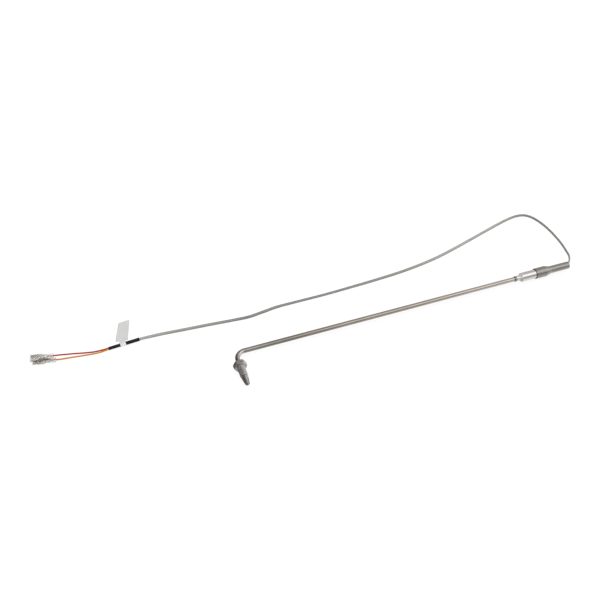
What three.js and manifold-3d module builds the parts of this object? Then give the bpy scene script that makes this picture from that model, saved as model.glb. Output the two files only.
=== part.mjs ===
// A mineral-insulated thermocouple probe with a bent tip, a captive union screw,
// a flat braided cable and two insulated push-on receptacles. Millimetres, +Z up.

import * as THREE from 'three';
import { mergeVertices } from 'three/addons/utils/BufferGeometryUtils.js';
import Module from 'manifold-3d';

const wasm = await Module();
wasm.setup();

// ---------------------------------------------------------------- driving dimensions

const GAP = 0.3; // between pieces that touch on the real object
const ROD_HEIGHT = 7.5; // probe axis above the bench, half of the hexagon's width
const QUARTER_TURN = Math.PI / 2;

// The probe lies along +X. Its short leg hangs off the origin of the layout towards -Y.
const SHEATH = { radius: 3, bore: 2.25, bend: 12, rodEnd: 402, legEnd: 43.9 };
const CORE = { radius: 1.95, hole: 0.7, rodEnd: 401, legEnd: 39.5 };
const CONDUCTOR = { radius: 0.4, offset: 0.95, legEnd: 39.8 };
const JUNCTION = { radius: 1.1, at: 41 };
const TIP_CAP = { radius: 3, thickness: 0.9, spigotRadius: 1.9, spigotLength: 1.3 };

const NOSE = { start: 40, end: 51.8, collarRadius: 4.2, collarEnd: 42.4, tipRadius: 2.8 };
const NOSE_BORE = { radius: 3.3, end: 45.4, tipRadius: 2 };
const NOSE_SLOT = { width: 0.9, start: 43.6 };

const HEX = { acrossFlats: 15, start: 18, end: 24.5, chamfer: 0.9, faceRadius: 7.2 };
const SHANK = { radius: 4.95, end: 39.4, chamfer: 0.8 };
const SCREW_BORE = 3.3;

const WELD_RING = { start: 385, end: 388.7, radius: 3.65, bore: 3.3 };
const FERRULE = { start: 389, neckRadius: 3.5, neckEnd: 393.7, shoulderEnd: 397, radius: 6, end: 424 };
const FERRULE_BORE = { neck: 3.3, pot: 4.8, potStart: 400 };
const DIMPLE = { at: 396, radius: 0.7, aroundAxis: 2.4 };
const POTTING = { start: 402.3, end: 407.5, radius: 4.5 };
const SPLICE = { start: 411, end: 420, radius: 1.15, bore: 0.7, offset: 1.9 };
const SPACER = { start: 412, end: 419, radius: 4.2, hole: 1.45 };
const LEAD_CORE = { start: 415.8, radius: 0.35, offset: 0.65, spreadEnd: 424, gatherEnd: 434 };

const SLEEVE = { start: 417.2, wideRadius: 7, wideEnd: 432.5, narrowStart: 440.5, narrowRadius: 4.85, end: 468.5 };
const SLEEVE_BORE = { wide: 6.3, wideEnd: 431, narrowStart: 439.5, narrow: 4 };
const GROMMET = { start: 446, end: 461, radius: 3.7 };

// The braided cable is flat: 3.9 wide and 2.3 thick.
const CABLE = { halfWidth: 1.95, halfThickness: 1.15, fineStep: 4, fineLength: 60, step: 8.6 };
const WIRE = { radius: 0.8, step: 3.4 };
const CORD_SIDES = 8;

// The cable's route, from inside the sleeve, round the loop and along the bench: [x, y, z].
const CABLE_ROUTE = [
  [441.5, 0, 7.5], [452, 0, 7.5], [461, 0, 7.5], [466.5, 0.7, 7.5], [471.5, 3.6, 7.4], [476.5, 9.5, 7],
  [480.6, 17, 6.1], [483.22, 27.28, 4.6], [486.34, 42.68, 2.7], [487.15, 58.63, 1.99],
  [486.23, 73.7, 1.99], [484.16, 87.74, 1.99], [480.43, 100.83, 1.99], [474.88, 111.31, 1.99],
  [467.29, 117.25, 1.99], [456.81, 118.87, 1.96], [442.91, 117.08, 1.87], [423.95, 112.16, 1.73],
  [399.95, 104.89, 1.59], [369.97, 95.45, 1.57], [339.97, 86.21, 1.55], [312.97, 78.82, 1.46],
  [285.98, 73.56, 1.34], [253.03, 69.12, 1.28], [218.03, 66.58, 1.25], [180.01, 64.86, 1.2],
  [140.02, 63.55, 1.19], [100, 63.54, 1.2], [75.01, 63.14, 1.3], [54.99, 60.41, 1.54],
  [35.95, 58.28, 1.54], [14.02, 59.79, 1.25], [-15, 62.23, 1.41], [-45.02, 64.35, 1.52],
  [-75.01, 66.72, 1.54], [-92, 67.1, 1.9], [-105.3, 66.9, 2.3], [-117, 66.1, 2.3],
];
// How far the cable's wide side is turned up from the bench: [distance along the route, degrees].
const CABLE_ROLL = [
  [0, -90], [150, -90], [185, -60], [215, -42], [300, -38], [330, -25], [365, -18], [430, -12], [460, 0],
  [520, -2], [545, -10], [570, -38], [598, -38], [615, -14], [632, -25], [680, -38], [716, -38], [733, 0],
  [750, 0],
];
const RED_ROUTE = [
  [-220.8, 72.26, 7.95], [-215.3, 71.3, 7.95], [-210.4, 70.4, 7.95], [-205.5, 69.5, 7.8],
  [-200.5, 69.05, 7.2], [-195.5, 68.85, 6.1], [-190.5, 69.05, 4.8], [-185.5, 69, 3.6],
  [-180.5, 68.75, 2.5], [-174.5, 68.1, 1.5], [-168.3, 67.2, 1], [-162, 66.25, 0.9], [-156, 65.65, 1.15],
  [-150, 65, 1.85], [-144.5, 65.05, 2.3], [-139, 65.43, 2.3], [-133.1, 65.83, 2.3],
];
const AMBER_ROUTE = [
  [-219.06, 70.32, 2.6], [-213.7, 68.94, 2.6], [-208.9, 67.75, 2.6], [-204.05, 66.85, 2.45],
  [-199, 66.5, 2.15], [-192.1, 66.15, 1.6], [-185, 65.7, 1.1], [-178, 64.9, 0.9], [-170, 63.9, 0.9],
  [-162, 63.15, 0.9], [-155, 62.8, 1.15], [-150, 62.75, 1.85], [-144.4, 63.35, 2.3], [-139, 63.73, 2.3],
  [-132.9, 64.15, 2.3],
];

// The heat-shrink tube covers the split from cable to wires, and the label is wrapped on it.
const SHRINK = { start: [-105.3, 66.9, 2.3], end: [-144.5, 64.2, 2.3], bore: [2.1, 1.3], outer: [2.7, 1.8] };
const LABEL = {
  wrapStart: 17.5, wrapEnd: 24.4, bore: [2.85, 1.95], outer: [3.1, 2.2], thickness: 0.5,
  tailWidth: 8.8, flagStart: 9.8, flagWidth: 14.3, flagHeight: 33.5, lean: 0.2,
};

// Both receptacles take a 6.3 x 0.8 tab. Each is laid out along its own +X from the hood's mouth.
const TERMINALS = [
  { colour: 'red', mouth: [-238, 75.3, 7.95], heading: -10 },
  { colour: 'amber', mouth: [-236, 74.7, 2.6], heading: -14.5 },
];
const HOOD = { length: 28, halfWidth: 4.8, halfHeight: 2.55, wideEnd: 13, neckStart: 17, neckHalfWidth: 2.9 };
const HOOD_NECK_HALF_HEIGHT = 2.15;
const HOOD_BORE = [0.91, 0.83]; // share of the outer width and height
const RECEPTACLE = { start: 1.5, end: 10, halfWidth: 3.8, halfHeight: 1.4, sheet: 0.4 };
const TAB_SLOT = { halfWidth: 3.3, height: 1, mouthHalfWidth: 0.8 };
const LATCH_SLOT = { at: 6.6, length: 0.8, width: 3.6 };
const STRAP = { end: 20, halfWidth: 1.1 };
const CORE_CRIMP = { start: 12.2, end: 16.2, radius: 1.35, bore: 0.8 };
const WIRE_CRIMP = { start: 16.9, end: 20, radius: 1.5, bore: 1 };
const STRANDS = { start: 11.6, end: 17, radius: 0.45 };

// ---------------------------------------------------------------- materials

function finish(colour, roughness, metalness) {
  return new THREE.MeshStandardMaterial({ color: colour, roughness, metalness });
}

const sheathSteel = finish(0x9d958a, 0.38, 1);
const brightSteel = finish(0xc9c7c2, 0.18, 1);
const satinSteel = finish(0x958e86, 0.42, 1);
const platedSteel = finish(0xb4b0aa, 0.32, 1);
const alloyWire = finish(0xa8a49c, 0.3, 1);
const oxidePowder = finish(0xe6e2d8, 0.9, 0);
const cement = finish(0xd8d2c4, 0.85, 0);
const blackRubber = finish(0x1b1b1d, 0.6, 0);
const braid = finish(0x96918b, 0.6, 0.3);
const labelFilm = finish(0xdededc, 0.55, 0);
const redCover = finish(0xb52a30, 0.45, 0);
const amberCover = finish(0xc67d12, 0.45, 0);
const clearPlastic = new THREE.MeshStandardMaterial({
  color: 0xe8eaea, roughness: 0.15, metalness: 0, transparent: true, opacity: 0.35,
});

// ---------------------------------------------------------------- solids

function toSolid(geometry) {
  const bare = geometry.clone();
  bare.deleteAttribute('normal');
  bare.deleteAttribute('uv');
  const merged = mergeVertices(bare, 1e-4);
  return new wasm.Manifold(new wasm.Mesh({
    numProp: 3,
    vertProperties: new Float32Array(merged.attributes.position.array),
    triVerts: new Uint32Array(merged.index.array),
  }));
}

function toGeometry(solid) {
  const mesh = solid.getMesh();
  const geometry = new THREE.BufferGeometry();
  geometry.setAttribute('position', new THREE.BufferAttribute(new Float32Array(mesh.vertProperties), 3));
  geometry.setIndex(new THREE.BufferAttribute(new Uint32Array(mesh.triVerts), 1));
  geometry.computeVertexNormals();
  return geometry;
}

function joined(...geometries) {
  return toGeometry(geometries.map(toSolid).reduce((whole, piece) => whole.add(piece)));
}

function cut(geometry, ...tools) {
  return toGeometry(tools.map(toSolid).reduce((left, tool) => left.subtract(tool), toSolid(geometry)));
}

// ---------------------------------------------------------------- sections and profiles

function ovalPoints(radiusX, radiusY, sides, centreY = 0) {
  const points = [];
  for (let i = 0; i < sides; i++) {
    const angle = ((i + 0.5) / sides) * 2 * Math.PI;
    points.push(new THREE.Vector2(radiusX * Math.cos(angle), centreY + radiusY * Math.sin(angle)));
  }
  return points;
}

function oval(radiusX, radiusY, sides, holes = []) {
  const shape = new THREE.Shape(ovalPoints(radiusX, radiusY, sides));
  shape.holes = holes.map((points) => new THREE.Path(points));
  return shape;
}

function roundedBlockPoints(halfWidth, halfHeight, sides) {
  return ovalPoints(1, 1, sides).map((point) => new THREE.Vector2(
    halfWidth * Math.sign(point.x) * Math.sqrt(Math.abs(point.x)),
    halfHeight * Math.sign(point.y) * Math.sqrt(Math.abs(point.y)),
  ));
}

function outline(points) {
  return new THREE.Shape(points.map(([x, y]) => new THREE.Vector2(x, y)));
}

// Turns a profile of [distance along the axis, radius] points about the +X axis.
function turned(profile, sides = 32) {
  const points = profile.map(([along, radius]) => new THREE.Vector2(radius, along));
  return new THREE.LatheGeometry(points, sides).rotateZ(-QUARTER_TURN);
}

// The same, for a piece with a bore: the outside from start to end, then the bore back again.
function turnedTube(outside, inside, sides = 32) {
  return turned([...outside, ...inside, outside[0]], sides);
}

// ---------------------------------------------------------------- sweeps

// One cross-section place on a path. Its side and up vectors carry the section's X and Y.
function station(point, tangent, roll = 0, scaleX = 1, scaleY = 1) {
  const up = new THREE.Vector3(0, 0, 1).addScaledVector(tangent, -tangent.z).normalize();
  const side = new THREE.Vector3().crossVectors(up, tangent).normalize();
  side.applyAxisAngle(tangent, roll);
  up.applyAxisAngle(tangent, roll);
  return { point, side: side.multiplyScalar(scaleX), up: up.multiplyScalar(scaleY) };
}

// Extrudes a section and lays each of its steps on the next station.
function swept(shape, stations) {
  const steps = stations.length - 1;
  const geometry = new THREE.ExtrudeGeometry(shape, { depth: steps, steps, bevelEnabled: false });
  const position = geometry.attributes.position;
  for (let i = 0; i < position.count; i++) {
    const place = stations[Math.round(position.getZ(i))];
    const point = place.point.clone();
    point.addScaledVector(place.side, position.getX(i));
    point.addScaledVector(place.up, position.getY(i));
    position.setXYZ(i, point.x, point.y, point.z);
  }
  return geometry;
}

function straightStations(places, from, direction) {
  return places.map(([along, scaleX, scaleY]) => station(
    from.clone().addScaledVector(direction, along), direction, 0, scaleX, scaleY,
  ));
}

// Stations down the probe: up the leg from its end, round the bend and along the rod.
function probeStations(legEnd, rodEnd, height = 0) {
  const z = ROD_HEIGHT + height;
  const bendSteps = 9;
  const stations = [station(new THREE.Vector3(0, -legEnd, z), new THREE.Vector3(0, 1, 0))];
  for (let i = 0; i <= bendSteps; i++) {
    const turn = (i / bendSteps) * QUARTER_TURN;
    const x = SHEATH.bend * (1 - Math.cos(turn));
    const y = SHEATH.bend * (Math.sin(turn) - 1);
    stations.push(station(new THREE.Vector3(x, y, z), new THREE.Vector3(Math.sin(turn), Math.cos(turn), 0)));
  }
  stations.push(station(new THREE.Vector3(rodEnd, 0, z), new THREE.Vector3(1, 0, 0)));
  return stations;
}

function smoothCurve(route) {
  return new THREE.CatmullRomCurve3(route.map((point) => new THREE.Vector3(...point)), false, 'centripetal');
}

function valueAt(table, distance) {
  for (let i = 1; i < table.length; i++) {
    const [start, low] = table[i - 1];
    const [end, high] = table[i];
    if (distance <= end) {
      return low + ((high - low) * Math.max(0, distance - start)) / (end - start);
    }
  }
  return table[table.length - 1][1];
}

function stationsAt(curve, distances, rollAt = () => 0) {
  const length = curve.getLength();
  return distances.map((distance) => station(
    curve.getPointAt(Math.min(1, distance / length)),
    curve.getTangentAt(Math.min(1, distance / length)),
    rollAt(distance),
  ));
}

function evenDistances(from, to, step) {
  const count = Math.ceil((to - from) / step);
  return Array.from({ length: count + 1 }, (_, i) => from + ((to - from) * i) / count);
}

// ---------------------------------------------------------------- the model

const model = new THREE.Group();
model.name = 'thermocouple';

function addPiece(name, geometry, material, parent = model) {
  const mesh = new THREE.Mesh(geometry, material);
  mesh.name = name;
  parent.add(mesh);
  return mesh;
}

// Pieces turned about the probe's rod, laid out along +X.
const rod = new THREE.Group();
rod.position.set(0, 0, ROD_HEIGHT);
model.add(rod);

// Pieces turned about the leg: their own +X runs from the rod's line out to the tip.
const leg = new THREE.Group();
leg.position.set(0, 0, ROD_HEIGHT);
leg.rotation.z = -QUARTER_TURN;
model.add(leg);

function addProbe() {
  const sheath = oval(SHEATH.radius, SHEATH.radius, 24, [ovalPoints(SHEATH.bore, SHEATH.bore, 16)]);
  addPiece('probe_sheath', swept(sheath, probeStations(SHEATH.legEnd, SHEATH.rodEnd)), sheathSteel);

  const holes = [CONDUCTOR.offset, -CONDUCTOR.offset].map((at) => ovalPoints(CORE.hole, CORE.hole, 8, at));
  const core = oval(CORE.radius, CORE.radius, 16, holes);
  addPiece('mineral_insulation', swept(core, probeStations(CORE.legEnd, CORE.rodEnd)), oxidePowder);
}

// One thermoelement: through the probe, then spread apart into its splice.
function addConductor(name, side) {
  const stations = probeStations(CONDUCTOR.legEnd, POTTING.end, side * CONDUCTOR.offset);
  const forward = new THREE.Vector3(1, 0, 0);
  for (const x of [SPLICE.start, SPLICE.start + 3.8]) {
    stations.push(station(new THREE.Vector3(x, 0, ROD_HEIGHT + side * SPLICE.offset), forward));
  }
  addPiece(name, swept(oval(CONDUCTOR.radius, CONDUCTOR.radius, 6), stations), alloyWire);
}

function addTip() {
  const bead = new THREE.SphereGeometry(JUNCTION.radius, 12, 8);
  addPiece('hot_junction', bead, alloyWire, leg).position.x = JUNCTION.at;

  const capStart = SHEATH.legEnd + GAP;
  addPiece('tip_cap', turned([
    [capStart - TIP_CAP.spigotLength, 0],
    [capStart - TIP_CAP.spigotLength, TIP_CAP.spigotRadius],
    [capStart, TIP_CAP.spigotRadius],
    [capStart, TIP_CAP.radius],
    [capStart + TIP_CAP.thickness, TIP_CAP.radius],
    [capStart + TIP_CAP.thickness, 0],
  ], 20), sheathSteel, leg);

  const nose = turnedTube(
    [
      [NOSE.start, NOSE.collarRadius - 0.4], [NOSE.start + 0.4, NOSE.collarRadius],
      [NOSE.collarEnd, NOSE.collarRadius], [NOSE.end, NOSE.tipRadius],
    ],
    [
      [NOSE.end, NOSE_BORE.tipRadius], [NOSE_BORE.end, NOSE_BORE.tipRadius],
      [NOSE_BORE.end, NOSE_BORE.radius], [NOSE.start, NOSE_BORE.radius],
    ],
    24,
  );
  const slotLength = NOSE.end - NOSE_SLOT.start + 1;
  const slots = [1, -1].map((way) => {
    const slot = new THREE.BoxGeometry(slotLength, NOSE_SLOT.width, 4 * NOSE.collarRadius);
    return slot.rotateX((way * Math.PI) / 4).translate(NOSE_SLOT.start + slotLength / 2, 0, 0);
  });
  addPiece('slotted_nose', cut(nose, ...slots), platedSteel, leg);
}

function addUnionScrew() {
  const cornerRadius = HEX.acrossFlats / Math.sqrt(3);
  const hexagon = outline([0, 1, 2, 3, 4, 5].map((i) => [
    cornerRadius * Math.cos((i * Math.PI) / 3), cornerRadius * Math.sin((i * Math.PI) / 3),
  ]));
  const head = new THREE.ExtrudeGeometry(hexagon, { depth: HEX.end - HEX.start, bevelEnabled: false });
  head.rotateZ(QUARTER_TURN).rotateY(QUARTER_TURN).translate(HEX.start, 0, 0);
  const chamfers = turned([
    [HEX.start, 0], [HEX.start, HEX.faceRadius], [HEX.start + HEX.chamfer, cornerRadius + 0.1],
    [HEX.end - HEX.chamfer, cornerRadius + 0.1], [HEX.end, HEX.faceRadius], [HEX.end, 0],
  ], 36);
  const chamferedHead = toGeometry(toSolid(head).intersect(toSolid(chamfers)));
  const shank = turned([
    [HEX.end - 1, 0], [HEX.end - 1, SHANK.radius], [SHANK.end - SHANK.chamfer, SHANK.radius],
    [SHANK.end, SHANK.radius - SHANK.chamfer], [SHANK.end, 0],
  ]);
  const bore = turned([
    [HEX.start - 1, 0], [HEX.start - 1, SCREW_BORE], [SHANK.end + 1, SCREW_BORE], [SHANK.end + 1, 0],
  ]);
  addPiece('union_screw', cut(joined(chamferedHead, shank), bore), platedSteel, leg);
}

function addFerrule() {
  addPiece('weld_ring', turnedTube(
    [
      [WELD_RING.start, WELD_RING.radius - 0.25], [WELD_RING.start + 0.6, WELD_RING.radius],
      [WELD_RING.end - 0.6, WELD_RING.radius], [WELD_RING.end, WELD_RING.radius - 0.25],
    ],
    [[WELD_RING.end, WELD_RING.bore], [WELD_RING.start, WELD_RING.bore]],
    24,
  ), satinSteel, rod);

  const body = turnedTube(
    [
      [FERRULE.start, FERRULE.neckRadius], [FERRULE.neckEnd, FERRULE.neckRadius],
      [FERRULE.shoulderEnd, FERRULE.radius], [FERRULE.end, FERRULE.radius],
    ],
    [
      [FERRULE.end, FERRULE_BORE.pot], [FERRULE_BORE.potStart, FERRULE_BORE.pot],
      [FERRULE_BORE.potStart, FERRULE_BORE.neck], [FERRULE.start, FERRULE_BORE.neck],
    ],
  );
  const dimple = new THREE.SphereGeometry(DIMPLE.radius, 10, 6).translate(DIMPLE.at, 0, FERRULE.radius - 0.4);
  addPiece('transition_ferrule', cut(body, dimple.rotateX(DIMPLE.aroundAxis - QUARTER_TURN)), brightSteel, rod);
}

function throughHoles(radius, offset, sides) {
  return [offset, -offset].map((at) => ovalPoints(radius, radius, sides, at));
}

function straightPiece(shape, start, end) {
  const forward = new THREE.Vector3(1, 0, 0);
  return swept(shape, straightStations([[start, 1, 1], [end, 1, 1]], new THREE.Vector3(), forward));
}

function addInsideOfFerrule() {
  const pottingHoles = throughHoles(CORE.hole, CONDUCTOR.offset, 8);
  const potting = straightPiece(oval(POTTING.radius, POTTING.radius, 20, pottingHoles), POTTING.start, POTTING.end);
  addPiece('cement_potting', potting, cement, rod);

  const spacerHoles = throughHoles(SPACER.hole, SPLICE.offset, 12);
  const spacer = straightPiece(oval(SPACER.radius, SPACER.radius, 20, spacerHoles), SPACER.start, SPACER.end);
  addPiece('splice_spacer', spacer, oxidePowder, rod);

  for (const [name, side] of [['positive', 1], ['negative', -1]]) {
    const barrel = turnedTube(
      [[SPLICE.start, SPLICE.radius], [SPLICE.end, SPLICE.radius]],
      [[SPLICE.end, SPLICE.bore], [SPLICE.start, SPLICE.bore]],
      12,
    );
    addPiece(`splice_${name}`, barrel, platedSteel, rod).position.z = side * SPLICE.offset;

    const places = [
      [LEAD_CORE.start, SPLICE.offset], [LEAD_CORE.spreadEnd, SPLICE.offset],
      [LEAD_CORE.gatherEnd, LEAD_CORE.offset], [CABLE_ROUTE[0][0] - GAP, LEAD_CORE.offset],
    ];
    const stations = places.map(([x, offset]) => station(
      new THREE.Vector3(x, 0, side * offset), new THREE.Vector3(1, 0, 0),
    ));
    const core = swept(oval(LEAD_CORE.radius, LEAD_CORE.radius, 6), stations);
    addPiece(`lead_core_${name}`, core, alloyWire, rod);
  }
}

function addSleeve() {
  addPiece('cable_sleeve', turnedTube(
    [
      [SLEEVE.start, SLEEVE.wideRadius - 0.3], [SLEEVE.start + 0.5, SLEEVE.wideRadius],
      [SLEEVE.wideEnd, SLEEVE.wideRadius], [SLEEVE.narrowStart, SLEEVE.narrowRadius],
      [SLEEVE.end - 0.9, SLEEVE.narrowRadius], [SLEEVE.end - 0.25, SLEEVE.narrowRadius - 0.2],
      [SLEEVE.end, SLEEVE.narrowRadius - 0.5],
    ],
    [
      [SLEEVE.end, SLEEVE_BORE.narrow], [SLEEVE_BORE.narrowStart, SLEEVE_BORE.narrow],
      [SLEEVE_BORE.wideEnd, SLEEVE_BORE.wide], [SLEEVE.start, SLEEVE_BORE.wide],
    ],
  ), satinSteel, rod);

  const hole = ovalPoints(CABLE.halfThickness + GAP, CABLE.halfWidth + GAP, CORD_SIDES);
  const grommet = straightPiece(oval(GROMMET.radius, GROMMET.radius, 20, [hole]), GROMMET.start, GROMMET.end);
  addPiece('cable_grommet', grommet, blackRubber, rod);
}

function addCable() {
  const curve = smoothCurve(CABLE_ROUTE);
  const length = curve.getLength();
  const distances = [
    ...evenDistances(0, CABLE.fineLength, CABLE.fineStep),
    ...evenDistances(CABLE.fineLength, length, CABLE.step).slice(1),
  ];
  const roll = (distance) => THREE.MathUtils.degToRad(valueAt(CABLE_ROLL, distance));
  const section = oval(CABLE.halfWidth, CABLE.halfThickness, CORD_SIDES);
  addPiece('braided_cable', swept(section, stationsAt(curve, distances, roll)), braid);
}

function addWire(name, route, material) {
  const curve = smoothCurve(route);
  const stations = stationsAt(curve, evenDistances(0, curve.getLength(), WIRE.step));
  addPiece(name, swept(oval(WIRE.radius, WIRE.radius, CORD_SIDES), stations), material);
}

// The heat-shrink tube's own frame: +X runs down it from the cable's side to the wires' side.
function shrinkAxis() {
  const start = new THREE.Vector3(...SHRINK.start);
  const end = new THREE.Vector3(...SHRINK.end);
  const direction = end.clone().sub(start);
  return { start, length: direction.length(), direction: direction.normalize() };
}

function ovalTube(outer, bore, from, to) {
  const { start, direction } = shrinkAxis();
  const shape = oval(...outer, CORD_SIDES, [ovalPoints(...bore, CORD_SIDES)]);
  return swept(shape, straightStations([[from, 1, 1], [to, 1, 1]], start, direction));
}

function addHeatShrink() {
  addPiece('heat_shrink', ovalTube(SHRINK.outer, SHRINK.bore, 0, shrinkAxis().length), blackRubber);
}

// A narrow strap wrapped on the heat-shrink, and an upright flag that leans a little in its own plane.
function addLabel() {
  const { start, direction } = shrinkAxis();
  const middle = (LABEL.wrapStart + LABEL.wrapEnd) / 2;
  const wrapWidth = LABEL.wrapEnd - LABEL.wrapStart;
  const flagBase = LABEL.flagStart - start.z;
  const corner = (across, up) => [
    across * Math.cos(LABEL.lean) + up * Math.sin(LABEL.lean),
    flagBase + up * Math.cos(LABEL.lean) - across * Math.sin(LABEL.lean),
  ];
  const half = LABEL.flagWidth / 2;
  const flag = outline([
    [-wrapWidth / 2, LABEL.outer[1] - GAP], [wrapWidth / 2, LABEL.outer[1] - GAP],
    corner(LABEL.tailWidth / 2, 0), corner(half, 0), corner(half, LABEL.flagHeight),
    corner(-half, LABEL.flagHeight), corner(-half, 0), corner(-LABEL.tailWidth / 2, 0),
  ]);
  const plate = new THREE.ExtrudeGeometry(flag, { depth: LABEL.thickness, bevelEnabled: false });
  plate.translate(0, 0, -LABEL.thickness / 2).rotateX(QUARTER_TURN);
  const centre = start.clone().addScaledVector(direction, middle);
  plate.rotateZ(Math.atan2(-direction.y, -direction.x)).translate(centre.x, centre.y, centre.z);
  const wrap = ovalTube(LABEL.outer, LABEL.bore, LABEL.wrapStart, LABEL.wrapEnd);
  addPiece('cable_label', joined(wrap, plate), labelFilm);
}

// A tab slot open at the front and underneath, between two rolled edges, below a flat tongue.
function receptacleSection() {
  const { halfWidth, halfHeight, sheet } = RECEPTACLE;
  const slotTop = halfHeight - sheet;
  const slotBottom = slotTop - TAB_SLOT.height;
  return outline([
    [-halfWidth, -halfHeight + 0.5], [-halfWidth + 0.5, -halfHeight], [-TAB_SLOT.mouthHalfWidth, -halfHeight],
    [-TAB_SLOT.mouthHalfWidth, slotBottom], [-TAB_SLOT.halfWidth, slotBottom], [-TAB_SLOT.halfWidth, slotTop],
    [TAB_SLOT.halfWidth, slotTop], [TAB_SLOT.halfWidth, slotBottom], [TAB_SLOT.mouthHalfWidth, slotBottom],
    [TAB_SLOT.mouthHalfWidth, -halfHeight], [halfWidth - 0.5, -halfHeight], [halfWidth, -halfHeight + 0.5],
    [halfWidth, halfHeight], [-halfWidth, halfHeight],
  ]);
}

function crimpBarrel({ start, end, radius }) {
  return turned([[start, 0], [start, radius], [end, radius], [end, 0]], 16);
}

function crimpBore({ start, end, bore }) {
  return turned([[start - 0.2, 0], [start - 0.2, bore], [end + 0.2, bore], [end + 0.2, 0]], 12);
}

function addReceptacle(colour, terminal) {
  const body = straightPiece(receptacleSection(), RECEPTACLE.start, RECEPTACLE.end);
  const strapTop = RECEPTACLE.halfHeight;
  const strapLength = STRAP.end - RECEPTACLE.end + 0.5;
  const strap = new THREE.BoxGeometry(strapLength, 2 * STRAP.halfWidth, RECEPTACLE.sheet);
  strap.translate(STRAP.end - strapLength / 2, 0, strapTop - RECEPTACLE.sheet / 2);
  const latch = new THREE.BoxGeometry(LATCH_SLOT.length, LATCH_SLOT.width, 2 * RECEPTACLE.sheet);
  latch.translate(LATCH_SLOT.at, 0, strapTop);
  const whole = joined(body, strap, crimpBarrel(CORE_CRIMP), crimpBarrel(WIRE_CRIMP));
  const bores = [crimpBore(CORE_CRIMP), crimpBore(WIRE_CRIMP)];
  addPiece(`${colour}_receptacle`, cut(whole, latch, ...bores), platedSteel, terminal);

  const strands = turned([
    [STRANDS.start, 0], [STRANDS.start, STRANDS.radius], [STRANDS.end, STRANDS.radius], [STRANDS.end, 0],
  ], 8);
  addPiece(`${colour}_core_strands`, strands, alloyWire, terminal);
}

function addHood(colour, terminal) {
  const bore = roundedBlockPoints(...HOOD_BORE, 16);
  const section = new THREE.Shape(roundedBlockPoints(1, 1, 16));
  section.holes = [new THREE.Path(bore)];
  const places = [
    [0, HOOD.halfWidth, HOOD.halfHeight], [HOOD.wideEnd, HOOD.halfWidth, HOOD.halfHeight],
    [HOOD.neckStart, HOOD.neckHalfWidth, HOOD_NECK_HALF_HEIGHT],
    [HOOD.length, HOOD.neckHalfWidth, HOOD_NECK_HALF_HEIGHT],
  ];
  const stations = straightStations(places, new THREE.Vector3(), new THREE.Vector3(1, 0, 0));
  addPiece(`${colour}_hood`, swept(section, stations), clearPlastic, terminal);
}

function addTerminal({ colour, mouth, heading }) {
  const terminal = new THREE.Group();
  terminal.position.set(...mouth);
  terminal.rotation.z = THREE.MathUtils.degToRad(heading);
  model.add(terminal);
  addReceptacle(colour, terminal);
  addHood(colour, terminal);
}

addProbe();
addConductor('conductor_positive', 1);
addConductor('conductor_negative', -1);
addTip();
addUnionScrew();
addFerrule();
addInsideOfFerrule();
addSleeve();
addCable();
addHeatShrink();
addLabel();
addWire('red_wire', RED_ROUTE, redCover);
addWire('amber_wire', AMBER_ROUTE, amberCover);
TERMINALS.forEach(addTerminal);

// The origin is the middle of the rigid probe's footprint, on the bench.
const hexCornerRadius = HEX.acrossFlats / Math.sqrt(3);
model.position.set(
  -(SLEEVE.end - hexCornerRadius) / 2,
  -(SLEEVE.wideRadius - NOSE.end) / 2,
  0,
);

const thermocouple = new THREE.Group();
thermocouple.add(model);
thermocouple.updateMatrixWorld(true);

export default thermocouple;
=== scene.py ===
"""The looks of a bent-tip thermocouple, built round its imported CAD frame. Profiles, routes and their sizes
are in millimetres, and are multiplied by MM when points are made. The rest is in metres. +Z is up."""

from math import acos, atan2, ceil, cos, dist, exp, pi, radians, sin, sqrt, tan

import bmesh
import bpy
import numpy as np
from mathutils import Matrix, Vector


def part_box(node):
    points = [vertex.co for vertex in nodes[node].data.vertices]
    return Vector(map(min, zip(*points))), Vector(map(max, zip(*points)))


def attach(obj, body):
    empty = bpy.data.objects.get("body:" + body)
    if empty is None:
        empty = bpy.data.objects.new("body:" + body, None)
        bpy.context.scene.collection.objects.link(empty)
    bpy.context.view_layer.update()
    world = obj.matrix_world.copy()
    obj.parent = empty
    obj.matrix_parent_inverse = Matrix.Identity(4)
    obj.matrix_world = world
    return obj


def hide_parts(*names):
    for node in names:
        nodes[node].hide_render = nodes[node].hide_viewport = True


MM = 0.001
TURN = 2 * pi

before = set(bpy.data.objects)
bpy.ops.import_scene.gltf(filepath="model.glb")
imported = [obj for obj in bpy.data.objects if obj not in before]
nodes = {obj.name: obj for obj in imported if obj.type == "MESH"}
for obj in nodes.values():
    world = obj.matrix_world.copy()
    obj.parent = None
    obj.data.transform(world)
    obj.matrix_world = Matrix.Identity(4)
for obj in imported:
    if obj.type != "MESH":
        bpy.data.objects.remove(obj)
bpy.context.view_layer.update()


# -------- places taken from the frame


def middle(node):
    """The middle of a node's box at rest."""
    return sum(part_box(node), Vector()) / 2


_, ROD_Y, AXIS_Z = middle("cable_sleeve")
LEG_X = middle("slotted_nose").x
ORIGIN = Vector((LEG_X, ROD_Y, AXIS_Z))  # where the leg's line meets the rod's line
BENCH = Vector((LEG_X, ROD_Y, 0))  # the same point on the bench, which the routes count from


def add_object(name, data):
    made = bpy.data.objects.new(name, data)
    bpy.context.scene.collection.objects.link(made)
    return made


def add_aimed(name, data, place, direction):
    """A camera or a light at a place, looking in a direction."""
    made = add_object(name, data)
    made.location = place
    made.rotation_mode = "QUATERNION"
    made.rotation_quaternion = direction.to_track_quat("-Z", "Y")
    return made


# -------- camera

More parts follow.
